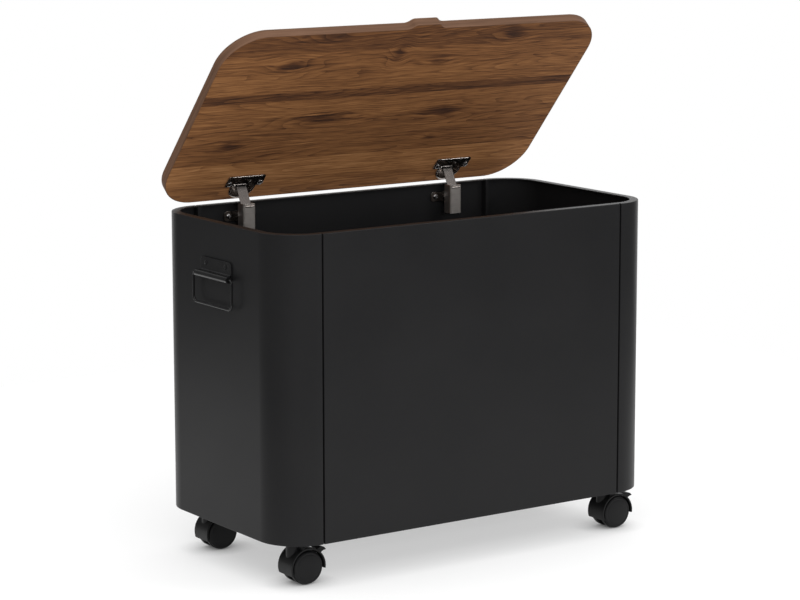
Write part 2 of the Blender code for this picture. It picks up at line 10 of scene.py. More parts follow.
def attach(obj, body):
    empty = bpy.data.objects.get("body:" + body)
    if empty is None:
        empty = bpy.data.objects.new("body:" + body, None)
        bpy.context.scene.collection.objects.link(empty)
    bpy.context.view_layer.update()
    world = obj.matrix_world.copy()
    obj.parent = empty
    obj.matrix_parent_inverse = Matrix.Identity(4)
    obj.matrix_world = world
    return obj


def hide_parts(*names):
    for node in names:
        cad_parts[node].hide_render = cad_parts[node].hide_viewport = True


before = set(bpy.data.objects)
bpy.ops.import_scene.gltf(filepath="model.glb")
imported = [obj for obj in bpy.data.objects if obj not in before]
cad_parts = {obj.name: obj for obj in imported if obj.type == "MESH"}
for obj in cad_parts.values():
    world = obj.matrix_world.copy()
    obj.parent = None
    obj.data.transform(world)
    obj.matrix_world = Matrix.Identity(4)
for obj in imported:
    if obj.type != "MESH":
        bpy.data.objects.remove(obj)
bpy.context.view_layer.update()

# Sizes in metres: down to the casters they are the same as in the solids

# Body of bent sheet panels
BODY_W = 0.560
BODY_D = 0.296
BODY_H = 0.375
CORNER_R = 0.054
GROUND = 0.0572
SHEET = 0.0012
RIM = 0.011
EDGE = 0.0009

# Clearances
GAP = 0.0003
FREE = 0.0006

# Lid board with its edge band and finger tab
LID_T = 0.012
LID_INSET = 0.0005
LID_GAP = 0.0025
LID_OPEN = math.radians(48.5)
BAND_T = 0.0010
TAB_TOP = 0.036
TAB_BASE = 0.050
TAB_OUT = 0.0068
TAB_R_IN = 0.012
TAB_R_OUT = 0.008

# Concealed cup hinges
HINGE_IN = 0.120
AXIS_BACK = 0.0025
AXIS_DOWN = 0.004
CUP_R = 0.0172
CUP_DEPTH = 0.0095
CUP_WALL = 0.0010
CUP_U = 0.0215
FLANGE_T = 0.0012
FLANGE_HALF = 0.0275
FLANGE_R = 0.0185
FLANGE_LOW = 0.025
FLANGE_TOP = 0.0445
FLANGE_LOW_R = 0.003
FLANGE_TOP_R = 0.004
SCREW_SPAN = 0.045
SCREW_U = 0.0095
SCREW_R = 0.0017
SCREW_HEAD_R = 0.0036
SCREW_HEAD_H = 0.0018
SCREW_LEN = 0.0085
PIN_R = 0.0015
PIN_U = 0.022
PIN_H = 0.004
LINK_W = 0.0145
LINK_T = 0.0012
LINK_LEN = 0.040
LINK_TILT = math.radians(27)
EYE_WALL = 0.0010
ARM_WALL = 0.0012
ARM_H = 0.038
ARM_FRONT = 0.0276
ARM_BACK = 0.014
BLOCK_FRONT = 0.019
WING_HALF = 0.024
WING_H = 0.013
WING_T = 0.0019
PLATE_SPAN = 0.032
PLATE_DROP = 0.018

# Drop handles on the two ends
HANDLE_DROP = 0.0645
HANDLE_W = 0.072
HANDLE_H = 0.0205
HANDLE_T = 0.0015
HANDLE_R = 0.006
BARREL_R = 0.0042
BARREL_W = 0.076
BARREL_OUT = 0.0066
BAIL_W = 0.0900
BAIL_H = 0.036
BAIL_R = 0.0016
BAIL_BEND = 0.0045
RIVET_R = 0.0016
RIVET_HEAD_R = 0.0029
RIVET_HEAD_H = 0.0010
RIVET_SPAN = 0.046
RIVET_UP = 0.0135

# Twin-wheel casters
CASTER_IN_X = 0.042
CASTER_IN_Y = 0.048
TRAIL = 0.0128
WHEEL_R = 0.0213
WHEEL_W = 0.0112
WEB_T = 0.010
HOOD_WALL = 0.0022
HOOD_CLEAR = 0.0010
HOOD_FROM = math.radians(-8)
HOOD_SWEEP = math.radians(208)
NECK_R = 0.0085
AXLE_R = 0.0020
KING_R = 0.0030
COLLAR_T = 0.0008
CASTER_PLATE_T = 0.0025
LEVER_W = 0.014
LEVER_STEM = 0.009
LEVER_LEN = 0.0195
LEVER_T = 0.002

# Fine detail that only the scene has: edges, seams, beads, and the rounding of bails, wheels and pedals
FINE = 0.0002
CRISP = 0.0003
EASED = 0.0004
BAND_EDGE = 0.0005
ROOF_EDGE = 0.0006
CHAMFER = 0.0008
SHARP_FROM = math.radians(38)
SEAM_GAP = 0.0023
SEAM_EDGE = 0.0005
SEAM_DEPTH = 0.0040
SEAM_SLIT = 0.00003
BAND_SEAM = 0.00006
BEAD_R = 0.0012
BEAD_IN = 0.005
RIDGE_R = 0.0014
RIDGE_DROP = 0.0032
BAIL_FOOT = 0.0075
DISC_R = 0.0160
DOME = 0.0008
GROOVE_W = 0.0012
GROOVE_T = 0.0003
COVER_R = 0.0203
COVER_EDGE = 0.0029
COVER_DROP = 0.0019
TREAD_W = 0.0064
TREAD_EDGE = 0.0005
TREAD_ROUND = 0.0012
WHEEL_BORE = 0.0087
WEB_SINK = 0.0004
PAD_HEEL_R = 0.0010
PAD_BEAK_R = 0.004
PAD_TIP_R = 0.0004
PAD_TOP_R = 0.003

# Places worked out from the sizes
HALF_W = BODY_W / 2
HALF_D = BODY_D / 2
RIM_Z = GROUND + BODY_H
SEAM_X = HALF_W - CORNER_R - GAP / 2 - 2 * SHEET
HINGE_X = HALF_W - HINGE_IN
SWIVEL_X = HALF_W - CASTER_IN_X
SWIVEL_Y = HALF_D - CASTER_IN_Y
LID_REAR = -AXIS_BACK - LID_INSET
LID_UNDER = AXIS_DOWN + LID_GAP
REACH = HALF_D + AXIS_BACK + LID_REAR * math.cos(LID_OPEN) + (LID_UNDER + LID_T) * math.sin(LID_OPEN)
CENTRE_Y = (HALF_D - REACH) / 2
HANDLE_Z = RIM_Z - HANDLE_DROP
PLATE_Z = RIM_Z - PLATE_DROP
NECK_TOP = GROUND + SHEET - CASTER_PLATE_T - 2 * GAP - COLLAR_T
KING_LOW = 2 * WHEEL_R
LEVER_X = 0.52 * WHEEL_R
LEVER_Z = 0.82 * WHEEL_R
SLOT_BACK = LEVER_X - 1.75 * LEVER_T
SLOT_LOW = LEVER_Z - 3.4 * LEVER_T

CHEST = Matrix.Translation((0, CENTRE_Y, 0))
LID_AXIS = Vector((0, HALF_D + AXIS_BACK, RIM_Z - AXIS_DOWN))
LID = CHEST @ Matrix.Translation(LID_AXIS) @ Matrix.Rotation(-LID_OPEN, 4, "X")


# Mesh helpers
def rounded(corners, steps=8):
    """Points round a polygon given as (x, y, radius); a radius makes an arc."""
    points = []
    for index, (x, y, radius) in enumerate(corners):
        corner = Vector((x, y))
        if radius <= 0:
            points.append((x, y))
            continue
        before = (Vector(corners[index - 1][:2]) - corner).normalized()
        after = (Vector(corners[(index + 1) % len(corners)][:2]) - corner).normalized()
        half = before.angle(after) / 2
        centre = corner + (before + after).normalized() * (radius / math.sin(half))
        first = corner + before * (radius / math.tan(half)) - centre
        last = corner + after * (radius / math.tan(half)) - centre
        start = math.atan2(first.y, first.x)
        turn = (math.atan2(last.y, last.x) - start + math.pi) % (2 * math.pi) - math.pi
        for step in range(steps + 1):
            angle = start + turn * step / steps
            points.append((centre.x + radius * math.cos(angle), centre.y + radius * math.sin(angle)))
    return points


def circle(x, y, radius, steps):
    """Points round a circle."""
    turns = [2 * math.pi * step / steps for step in range(steps)]
    return [(x + radius * math.cos(turn), y + radius * math.sin(turn)) for turn in turns]


def bend(x, y, wide, tall, start, steps=6):
    """Points along a quarter of an ellipse about (x, y), clockwise from a start angle in degrees."""
    turns = [math.radians(start - 90 * step / steps) for step in range(steps + 1)]
    return [(x + wide * math.cos(turn), y + tall * math.sin(turn)) for turn in turns]


def area(loop):
    """Signed area of a flat loop."""
    return sum(a[0] * b[1] - b[0] * a[1] for a, b in zip(loop, loop[1:] + loop[:1])) / 2


def inset(loop, distance):
    """The loop moved inwards by a distance, or outwards if it is negative."""
    sharpest = 0.2
    loop = loop if area(loop) > 0 else loop[::-1]
    moved = []
    for index, point in enumerate(loop):
        here = Vector(point)
        before = (here - Vector(loop[index - 1])).normalized()
        after = (Vector(loop[(index + 1) % len(loop)]) - here).normalized()
        side = (before + after).normalized()
        reach = distance / max(sharpest, before.dot(side))
        moved.append(tuple(here + Vector((-side.y, side.x)) * reach))
    return moved


def placed(a, b, c, axis):
    """A point whose flat outline is (a, b) and whose height c runs along an axis."""
    return {"X": (c, a, b), "Y": (a, c, b), "Z": (a, b, c)}[axis]


def finished(shape):
    """A mesh from an edit mesh, with its faces turned outwards."""
    bmesh.ops.recalc_face_normals(shape, faces=shape.faces)
    mesh = bpy.data.meshes.new("shape")
    shape.to_mesh(mesh)
    shape.free()
    return mesh


def slab(outline, low, high, axis="Z", edge=CRISP, holes=(), steps=2, hole_edge=1.0):
    """A flat outline with holes, pulled along an axis, with its edges rounded over.

    The holes' edges get a share of that rounding."""
    levels = [(0, low)]
    if edge > 0:
        turns = [math.pi / 2 * step / steps for step in range(steps + 1)]
        levels = [(edge * (1 - math.sin(turn)), low + edge * (1 - math.cos(turn))) for turn in turns]
    levels += [(depth, low + high - height) for depth, height in reversed(levels)]
    shape = bmesh.new()
    ends = [[], []]
    for loop, way in [(outline, 1)] + [(hole, -hole_edge) for hole in holes]:
        rings = []
        for depth, height in levels:
            flat = inset(loop, way * depth)
            rings.append([shape.verts.new(placed(a, b, height, axis)) for a, b in flat])
        for lower, upper in zip(rings, rings[1:]):
            for index in range(len(lower)):
                follow = (index + 1) % len(lower)
                shape.faces.new((lower[index], lower[follow], upper[follow], upper[index]))
        ends[0].append(rings[0])
        ends[1].append(rings[-1])
    for rings in ends:
        if len(rings) == 1:
            shape.faces.new(rings[0])
            continue
        edges = [shape.edges.get((ring[i - 1], ring[i])) for ring in rings for i in range(len(ring))]
        bmesh.ops.triangle_fill(shape, edges=edges, use_beauty=True)
    return finished(shape)


def block(low, high, edge=CRISP):
    """A box between two corners, with its edges rounded over."""
    outline = [(low[0], low[1]), (high[0], low[1]), (high[0], high[1]), (low[0], high[1])]
    return slab(outline, low[2], high[2], edge=edge)


def lathe(profile, steps, axis="Z"):
    """A profile of (radius, height) turned round an axis; it starts and ends on the axis."""
    on_axis = 1e-7
    shape = bmesh.new()
    rings = []
    for radius, height in profile:
        ring = [(0, 0)] if radius < on_axis else circle(0, 0, radius, steps)
        rings.append([shape.verts.new(placed(a, b, height, axis)) for a, b in ring])
    for lower, upper in zip(rings, rings[1:]):
        for index in range(steps):
            follow = (index + 1) % steps
            if len(lower) == 1:
                shape.faces.new((lower[0], upper[index], upper[follow]))
            elif len(upper) == 1:
                shape.faces.new((lower[index], lower[follow], upper[0]))
            else:
                shape.faces.new((lower[index], lower[follow], upper[follow], upper[index]))
    return finished(shape)


def rod_ring(path, radius, sides, axis):
    """A round rod bent along a closed flat path."""
    shape = bmesh.new()
    rings = []
    for index, point in enumerate(path):
        here = Vector(point)
        before = (here - Vector(path[index - 1])).normalized()
        after = (Vector(path[(index + 1) % len(path)]) - here).normalized()
        along = (before + after).normalized()
        normal = Vector((-along.y, along.x))
        ring = []
        for across, out in circle(0, 0, radius, sides):
            a, b = here + normal * across
            ring.append(shape.verts.new(placed(a, b, out, axis)))
        rings.append(ring)
    for lower, upper in zip(rings, rings[1:] + rings[:1]):
        for index in range(sides):
            follow = (index + 1) % sides
            shape.faces.new((lower[index], lower[follow], upper[follow], upper[index]))
    return finished(shape)


def joined(*meshes):
    """Several meshes as one."""
    shape = bmesh.new()
    for mesh in meshes:
        shape.from_mesh(mesh)
    mesh = bpy.data.meshes.new("shape")
    shape.to_mesh(mesh)
    shape.free()
    return mesh


def evaluated(mesh, *modifiers):
    """The mesh after modifiers, each given as (kind, settings)."""
    holder = bpy.data.objects.new("holder", mesh)
    bpy.context.scene.collection.objects.link(holder)
    for kind, settings in modifiers:
        modifier = holder.modifiers.new(kind, kind)
        for key, value in settings.items():
            setattr(modifier, key, value)
    bpy.context.view_layer.update()
    graph = bpy.context.evaluated_depsgraph_get()
    made = bpy.data.meshes.new_from_object(holder.evaluated_get(graph))
    bpy.data.objects.remove(holder)
    return made


def carved(mesh, cuts):
    """The mesh with other meshes cut out of it."""
    helpers = []
    for cut in cuts:
        helper = bpy.data.objects.new("helper", cut)
        bpy.context.scene.collection.objects.link(helper)
        helpers.append(helper)
    settings = [("BOOLEAN", {"operation": "DIFFERENCE", "solver": "EXACT", "object": h}) for h in helpers]
    made = evaluated(mesh, *settings)
    for helper in helpers:
        bpy.data.objects.remove(helper)
    return made


def polished(mesh):
    """The mesh shaded smooth, with its large faces kept flat and its steeper edges kept sharp."""
    mesh.polygons.foreach_set("use_smooth", [True] * len(mesh.polygons))
    mesh.set_sharp_from_angle(angle=SHARP_FROM)
    return evaluated(mesh, ("WEIGHTED_NORMAL", {"mode": "FACE_AREA", "weight": 75, "keep_sharp": True}))


def piece(name, mesh, look, body, nodes, place=CHEST, extra=None):
    """One shown piece: it rides on a body, hides the CAD nodes it stands for and takes its look's finish.

    An extra look is given with a test of a face's centre, for the faces that take it."""
    made = bpy.data.objects.new(name, polished(mesh))
    made.data.name = name
    made.data.materials.clear()
    made.data.materials.append(LOOKS[look])
    if extra:
        made.data.materials.append(LOOKS[extra[0]])
        for face in made.data.polygons:
            face.material_index = 1 if extra[1](face.center) else 0
    bpy.context.scene.collection.objects.link(made)
    made.matrix_world = place
    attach(made, body)
    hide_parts(*nodes)


# Most of a noise's values lie in this span
NOISE_SPAN = (0.3, 0.7)


class Tree:
    """Short calls for building the nodes of a material or a world."""

    def __init__(self, owner, shader="Principled BSDF"):
        owner.use_nodes = True
        self.owner = owner
        self.nodes = owner.node_tree.nodes
        self.links = owner.node_tree.links
        self.shader = self.nodes[shader]

    def node(self, kind, inputs=None, **settings):
        made = self.nodes.new("ShaderNode" + kind)
        for key, value in settings.items():
            setattr(made, key, value)
        for key, value in (inputs or {}).items():
            self.feed(value, made.inputs[key])
        return made

    def feed(self, value, socket):
        if isinstance(value, bpy.types.NodeSocket):
            self.links.new(value, socket)
        else:
            socket.default_value = value

    def where(self, space="Object"):
        return self.node("TexCoord").outputs[space]

    def math(self, operation, a, b=0.0, c=0.0, clamp=False):
        made = self.node("Math", {0: a, 1: b, 2: c}, operation=operation, use_clamp=clamp)
        return made.outputs[0]

    def blend(self, first, second, share):
        rest = self.math("MULTIPLY", second, 1 - share)
        return self.math("ADD", self.math("MULTIPLY", first, share), rest)

    def scaled(self, vector, x, y, z):
        made = self.node("VectorMath", {0: vector, 1: (x, y, z)}, operation="MULTIPLY")
        return made.outputs[0]

    def noise(self, vector, scale, detail=2.0, roughness=0.5):
        values = {"Vector": vector, "Scale": scale, "Detail": detail, "Roughness": roughness}
        return self.node("TexNoise", values).outputs["Fac"]

    def grain(self, vector, scales, detail=2.0, roughness=0.5):
        return self.noise(self.scaled(vector, *scales), 1.0, detail, roughness)

    def spread(self, value, low, high, start=0.0, end=1.0, smooth=False):
        kind = "SMOOTHSTEP" if smooth else "LINEAR"
        values = {"Value": value, "From Min": start, "From Max": end, "To Min": low, "To Max": high}
        return self.node("MapRange", values, interpolation_type=kind, clamp=True).outputs["Result"]

    def ramp(self, value, stops, constant=False):
        made = self.node("ValToRGB", {"Fac": value})
        band = made.color_ramp
        band.interpolation = "CONSTANT" if constant else "LINEAR"
        while len(band.elements) < len(stops):
            band.elements.new(0.5)
        for element, (position, colour) in zip(band.elements, stops):
            element.position = position
        for element, (position, colour) in zip(band.elements, stops):
            element.color = (*colour, 1)
        return made.outputs["Color"]

    def shade(self, value, colours, span=NOISE_SPAN):
        step = (span[1] - span[0]) / (len(colours) - 1)
        return self.ramp(value, [(span[0] + step * index, colour) for index, colour in enumerate(colours)])

    def bump(self, height, strength, distance):
        values = {"Height": height, "Strength": strength, "Distance": distance}
        self.feed(self.node("Bump", values).outputs["Normal"], self.shader.inputs["Normal"])

    def done(self, colour, roughness, metallic=0.0, specular=0.5):
        self.feed(colour, self.shader.inputs["Base Color"])
        self.feed(roughness, self.shader.inputs["Roughness"])
        self.feed(metallic, self.shader.inputs["Metallic"])
        self.feed(specular, self.shader.inputs["Specular IOR Level"])
        return self.owner


def new_tree(name):
    """The node tree of a new material."""
    return Tree(bpy.data.materials.new(name))


def coated_steel(name):
    """Black satin powder coat: a very fine orange peel, slightly uneven gloss and colour."""
    tree = new_tree(name)
    where = tree.where()
    cloud = tree.noise(where, 7.0, 3.0)
    speckle = tree.noise(where, 420.0, 2.0)
    peel = tree.noise(where, 1500.0, 1.0)
    mixed = tree.blend(cloud, speckle, 0.6)
    colour = tree.shade(mixed, [(0.0096, 0.0096, 0.0101), (0.0126, 0.0124, 0.0128)])
    tree.bump(peel, strength=0.10, distance=0.0002)
    return tree.done(colour, tree.spread(mixed, 0.32, 0.42, *NOISE_SPAN), specular=0.14)


# Boards of the lid, from its rear edge to its front one: where each starts, and its tone, partly painted
# light
# The boards up to 0.113 m from the rear edge are lightened as painted light, for the shade they get low in
# the open lid
STAVES = [(0.0, 0.57), (0.032, 0.74), (0.068, 0.47), (0.113, 0.50), (0.148, 0.56), (0.178, 0.27)]
STAVES += [(0.193, 0.54), (0.228, 0.47), (0.262, 0.32)]
STAVE_SPAN = 0.3

# Knots: place along and across the lid, half length, half width and darkness
KNOTS = [(-0.176, 0.243, 0.026, 0.015, 0.40), (0.142, 0.279, 0.022, 0.012, 0.28)]
KNOTS += [(-0.022, 0.253, 0.012, 0.017, 0.30), (-0.082, 0.142, 0.058, 0.012, 0.48)]
KNOTS += [(0.097, 0.092, 0.014, 0.007, 0.34), (-0.212, 0.103, 0.026, 0.011, 0.34)]
KNOTS += [(0.045, 0.236, 0.024, 0.009, 0.26), (0.092, 0.140, 0.048, 0.014, 0.30)]
KNOTS += [(-0.133, 0.289, 0.036, 0.013, 0.22)]
KNOT_REACH = 2.4
KNOT_PUSH = 0.65
KNOT_FADE = 1.1

# Walnut's figure: noise scales along the grain, across it and between boards
DRIFT = (8.0, 34.0, 1.0)
GROWTH = (2.2, 20.0, 1.0)
PATCH = (5.0, 20.0, 1.0)
STREAK = (4.0, 80.0, 1.0)
VEIN = (9.0, 300.0, 1.0)
FIBRE = (26.0, 800.0, 1.0)
PORE = (45.0, 800.0, 1.0)
DRIFT_SIZE = 0.010
BOARD_SEED = 41.0
RINGS_PER_METRE = 90.0
RING_WANDER = 22.0
RING_EDGE = 3.0
RING_MEAN = 1 / (RING_EDGE + 1)
NOISE_MEAN = 0.5
RAGGED = 2.4
PORE_SPAN = (0.58, 0.70)
PORE_DEPTH = -0.7

# How much each layer of the figure changes the tone, and the colours from the darkest tone to the lightest
STREAK_TONE = 0.28
RING_TONE = -0.21
VEIN_TONE = 0.72
FIBRE_TONE = 0.80
PATCH_TONE = 0.24
PORE_TONE = -0.17
WALNUT = [(0.040, 0.020, 0.0135), (0.094, 0.041, 0.0195), (0.179, 0.079, 0.0315)]
WALNUT += [(0.275, 0.127, 0.050), (0.385, 0.195, 0.083)]
BAND_WOOD = [(0.080, 0.041, 0.024), (0.126, 0.067, 0.040), (0.174, 0.095, 0.059)]


def lid_places(tree):
    """Places on the lid along and across its boards, and the tone of the board at each, with painted light
    near the rear edge.
    """
    parts = tree.node("SeparateXYZ", {0: tree.where()})
    across = tree.math("MULTIPLY_ADD", parts.outputs["Y"], -1.0, LID_REAR)
    stops = [(edge / STAVE_SPAN, (tone, tone, tone)) for edge, tone in STAVES]
    tone = tree.ramp(tree.math("DIVIDE", across, STAVE_SPAN), stops, constant=True)
    return parts.outputs["X"], across, tone


def past_knots(tree, flat, across, level):
    """Grain levels pushed aside by the knots, how near the nearest one is, and their sizes and darkness."""
    sizes, swirl = [], 0.0
    for x, u, wide, tall, depth in KNOTS:
        away = tree.node("VectorMath", {0: flat, 1: (x, u, 0)}, operation="SUBTRACT").outputs[0]
        size = tree.node("VectorMath", {0: tree.scaled(away, 1 / wide, 1 / tall, 0.0)}, operation="LENGTH")
        sizes.append((size.outputs["Value"], depth))
        near = tree.spread(size.outputs["Value"], 1.0, 0.0, 0.0, KNOT_REACH, smooth=True)
        aside = tree.math("MULTIPLY", tree.math("SUBTRACT", across, u), near)
        level = tree.math("MULTIPLY_ADD", aside, -KNOT_PUSH, level)
        swirl = tree.math("MAXIMUM", near, swirl)
    return level, swirl, sizes


def knot_shadow(tree, sizes, ragged):
    """Darkness of the knots, with ragged edges."""
    dark = 0.0
    for size, depth in sizes:
        torn = tree.math("ADD", size, ragged)
        dark = tree.math("MAXIMUM", tree.spread(torn, depth, 0.0, 0.0, KNOT_FADE, smooth=True), dark)
    return dark


def ring_lines(tree, spot, level, swirl):
    """Growth rings: each rises slowly to a sharp edge, and they bend round the knots."""
    rings = tree.math("MULTIPLY", level, RINGS_PER_METRE)
    rings = tree.math("MULTIPLY_ADD", tree.grain(spot, GROWTH, 1.5), RING_WANDER, rings)
    return tree.math("POWER", tree.math("FRACT", tree.math("ADD", swirl, rings)), RING_EDGE)


def walnut(name):
    """Walnut boards glued side by side along X, each with its own tone, ring lines, fibres and pores; the
    tones of the boards near the rear edge hold painted light.
    """
    tree = new_tree(name)
    along, across, tone = lid_places(tree)
    flat = tree.node("CombineXYZ", {"X": along, "Y": across, "Z": 0.0}).outputs[0]
    drift = tree.math("MULTIPLY_ADD", tree.grain(flat, DRIFT, 3.0), DRIFT_SIZE, -DRIFT_SIZE / 2)
    level, swirl, sizes = past_knots(tree, flat, across, tree.math("ADD", across, drift))
    seed = tree.math("MULTIPLY", tone, BOARD_SEED)
    spot = tree.node("CombineXYZ", {"X": tree.math("ADD", along, seed), "Y": level, "Z": seed}).outputs[0]
    vein = tree.grain(spot, VEIN, 3.0, 0.75)
    dark = knot_shadow(tree, sizes, tree.math("MULTIPLY_ADD", vein, RAGGED, -RAGGED / 2))
    rings = ring_lines(tree, spot, level, swirl)
    streak = tree.grain(spot, STREAK, 2.0, 0.55)
    fibre = tree.grain(spot, FIBRE, 2.0, 0.6)
    pores = tree.spread(tree.grain(spot, PORE, 1.0), 0.0, 1.0, *PORE_SPAN)
    patch = tree.grain(spot, PATCH, 2.0)
    total = tree.math("MULTIPLY_ADD", streak, STREAK_TONE, -STREAK_TONE / 2)
    layers = [(rings, RING_MEAN, RING_TONE), (vein, NOISE_MEAN, VEIN_TONE)]
    layers += [(fibre, NOISE_MEAN, FIBRE_TONE), (patch, NOISE_MEAN, PATCH_TONE)]
    for layer, mean, weight in layers:
        total = tree.math("MULTIPLY_ADD", tree.math("SUBTRACT", layer, mean), weight, total)
    total = tree.math("ADD", total, tone)
    total = tree.math("MULTIPLY_ADD", pores, PORE_TONE, total)
    total = tree.math("SUBTRACT", total, dark, clamp=True)
    tree.bump(tree.math("MULTIPLY_ADD", pores, PORE_DEPTH, fibre), strength=0.16, distance=0.0002)
    colour = tree.shade(total, WALNUT, span=(0.0, 1.0))
    return tree.done(colour, tree.spread(total, 0.74, 0.62), specular=0.06)


def edge_strip(name):
    """Walnut edge strip: its grain runs along the band, round the lid."""
    tree = new_tree(name)
    where = tree.where()
    streak = tree.grain(where, (6.0, 6.0, 240.0), 3.0, 0.6)
    fibre = tree.grain(where, (30.0, 30.0, 1400.0), 2.0)
    total = tree.blend(streak, fibre, 0.6)
    tree.bump(fibre, strength=0.12, distance=0.0002)
    return tree.done(tree.shade(total, BAND_WOOD), tree.spread(total, 0.70, 0.58), specular=0.10)


def metal(name, dark, light, rough, stretch, strength):
    """Plated metal: a fine drawn grain in its colour, gloss and surface."""
    tree = new_tree(name)
    where = tree.where()
    lines = tree.grain(where, stretch, 3.0)
    mixed = tree.blend(lines, tree.noise(where, 160.0, 2.0), 0.55)
    tree.bump(lines, strength, distance=0.0001)
    return tree.done(tree.shade(mixed, [dark, light]), tree.spread(mixed, *rough, *NOISE_SPAN), metallic=1.0)


def dark_finish(name, dark, light, rough, peel, strength, specular):
    """Black paint or plastic: a fine skin texture with slightly uneven gloss."""
    tree = new_tree(name)
    where = tree.where()
    cloud = tree.noise(where, 60.0, 3.0)
    tree.bump(tree.noise(where, peel, 1.0), strength, distance=0.0001)
    gloss = tree.spread(cloud, *rough, *NOISE_SPAN)
    return tree.done(tree.shade(cloud, [dark, light]), gloss, specular=specular)


# Noise scales for metal drawn along X, drawn along Z and not drawn
ALONG_X = (30, 600, 600)
ALONG_Z = (600, 600, 30)
EVEN = (300, 300, 300)

# The metals, and for the black finishes the two colours and the span of roughness
NICKEL = metal("nickel_plate", (0.40, 0.36, 0.335), (0.47, 0.43, 0.405), (0.20, 0.27), ALONG_X, 0.008)
# The arms' nickel is a lighter copy of the same plating: painted light and reflection; only its rougher
# gloss is real
SATIN_NICKEL_LIT = metal("satin_nickel_painted_light", (0.66, 0.61, 0.57), (0.76, 0.71, 0.67), (0.40, 0.50), ALONG_X, 0.008)
# The link's nickel is a darker copy of the same plating: painted shade
NICKEL_PAINTED_SHADE = metal("nickel_painted_shade", (0.19, 0.17, 0.16), (0.25, 0.225, 0.21), (0.22, 0.32), ALONG_Z, 0.008)
ZINC = metal("zinc_plate", (0.58, 0.58, 0.59), (0.72, 0.72, 0.73), (0.16, 0.26), EVEN, 0.02)
GLOSS = [(0.006, 0.006, 0.0065), (0.010, 0.010, 0.010), (0.11, 0.19)]
PLASTIC = [(0.0042, 0.0042, 0.0045), (0.0066, 0.0066, 0.0069), (0.36, 0.48)]
LOOKS = {
    "steel": coated_steel("black_coated_steel"),
    "walnut": walnut("walnut_board"),
    "band": edge_strip("walnut_edge_band"),
    "nickel": NICKEL,
    "satin": SATIN_NICKEL_LIT,
    "strip": NICKEL_PAINTED_SHADE,
    "zinc": ZINC,
    "gloss": dark_finish("gloss_black_metal", *GLOSS, peel=700.0, strength=0.05, specular=0.28),
    "plastic": dark_finish("black_plastic", *PLASTIC, peel=2200.0, strength=0.10, specular=0.20),
}


# Body panels
def tray(stations):
    """A sheet panel along a plan path, folded inwards on all four edges.

    Stations are (point, inward, least depth, whether the pocket is open there)."""
    turns = [math.pi / 2 * step / 5 for step in range(6)]
    foot = [(EDGE * (1 - math.sin(t)), GROUND + EDGE * (1 - math.cos(t))) for t in turns]
    head = [(depth, GROUND + RIM_Z - height) for depth, height in reversed(foot)]
    lip = SHEET * 0.3
    skin = [(RIM, GROUND + SHEET), (RIM, GROUND + lip), (RIM - lip, GROUND), *foot, *head]
    skin += [(RIM - lip, RIM_Z), (RIM, RIM_Z - lip), (RIM, RIM_Z - SHEET)]
    hollow = [(SHEET, RIM_Z - SHEET), (SHEET, GROUND + SHEET)]
    shape = bmesh.new()
    rows = []
    for point, inward, least, open_here in stations:
        outer = []
        for depth, height in skin:
            x, y = Vector(point) + Vector(inward) * max(depth, least)
            outer.append(shape.verts.new((x, y, height)))
        inner = None
        if open_here:
            spots = [(Vector(point) + Vector(inward) * depth, height) for depth, height in hollow]
            inner = [shape.verts.new((spot.x, spot.y, height)) for spot, height in spots]
        rows.append((outer, inner))
    for (outer, inner), (after, deeper) in zip(rows, rows[1:]):
        strips = list(zip(outer, outer[1:], after[1:], after))
        if inner and deeper:
            strips.append((outer[-1], inner[0], deeper[0], after[-1]))
            strips.append((inner[0], inner[1], deeper[1], deeper[0]))
            strips.append((inner[1], outer[0], after[0], deeper[1]))
        else:
            strips.append((outer[-1], outer[0], after[0], after[-1]))
            outer, inner = (outer, inner) if inner else (after, deeper)
            if inner:
                shape.faces.new((outer[-1], inner[0], inner[1], outer[0]))
        for strip in strips:
            shape.faces.new(strip)
    shape.faces.new(rows[0][0])
    shape.faces.new(rows[-1][0])
    return finished(shape)


def seam_steps():
    """Distances along a panel from its seam, with the least depth and whether the pocket is open."""
    turns = [math.pi / 2 * step / 4 for step in range(5)]
    steps = [((SEAM_SLIT - SEAM_GAP) / 2, SEAM_DEPTH, False), (-SEAM_SLIT, SEAM_DEPTH, False)]
    steps += [(SEAM_EDGE * (1 - math.cos(t)), SEAM_EDGE * (1 - math.sin(t)), False) for t in turns]
    return steps + [(SHEET, 0.0, True)]


def end_panel(side, steps=36):
    """An end panel, from its front seam round both corners to its back seam."""
    seam = [(side * (SEAM_X + SEAM_GAP / 2 + along), least, opened) for along, least, opened in seam_steps()]
    stations = [((x, -HALF_D), (0, 1), least, opened) for x, least, opened in seam]
    for end in (-1, 1):
        for step in range(steps + 1):
            turn = math.pi / 2 * step / steps
            turn = turn if end < 0 else math.pi / 2 - turn
            out = Vector((side * math.sin(turn), end * math.cos(turn)))
            centre = Vector((side * (HALF_W - CORNER_R), end * (HALF_D - CORNER_R)))
            stations.append((centre + CORNER_R * out, -out, 0.0, True))
    stations += [((x, HALF_D), (0, -1), least, opened) for x, least, opened in seam[::-1]]
    return tray(stations)


def flat_panel(end):
    """The front panel (end -1) or the back panel (end 1), from seam to seam."""
    seam = [(SEAM_X - SEAM_GAP / 2 - along, least, opened) for along, least, opened in seam_steps()]
    stations = [((-x, end * HALF_D), (0, -end), least, opened) for x, least, opened in seam]
    stations += [((x, end * HALF_D), (0, -end), least, opened) for x, least, opened in seam[::-1]]
    return tray(stations)


def build_body():
    """The four panels."""
    piece("front_panel_skin", flat_panel(-1), "steel", "chest", ["front_panel"])
    piece("back_panel_skin", flat_panel(1), "steel", "chest", ["back_panel"])
    piece("left_end_skin", end_panel(-1), "steel", "chest", ["left_end_panel"])
    piece("right_end_skin", end_panel(1), "steel", "chest", ["right_end_panel"])


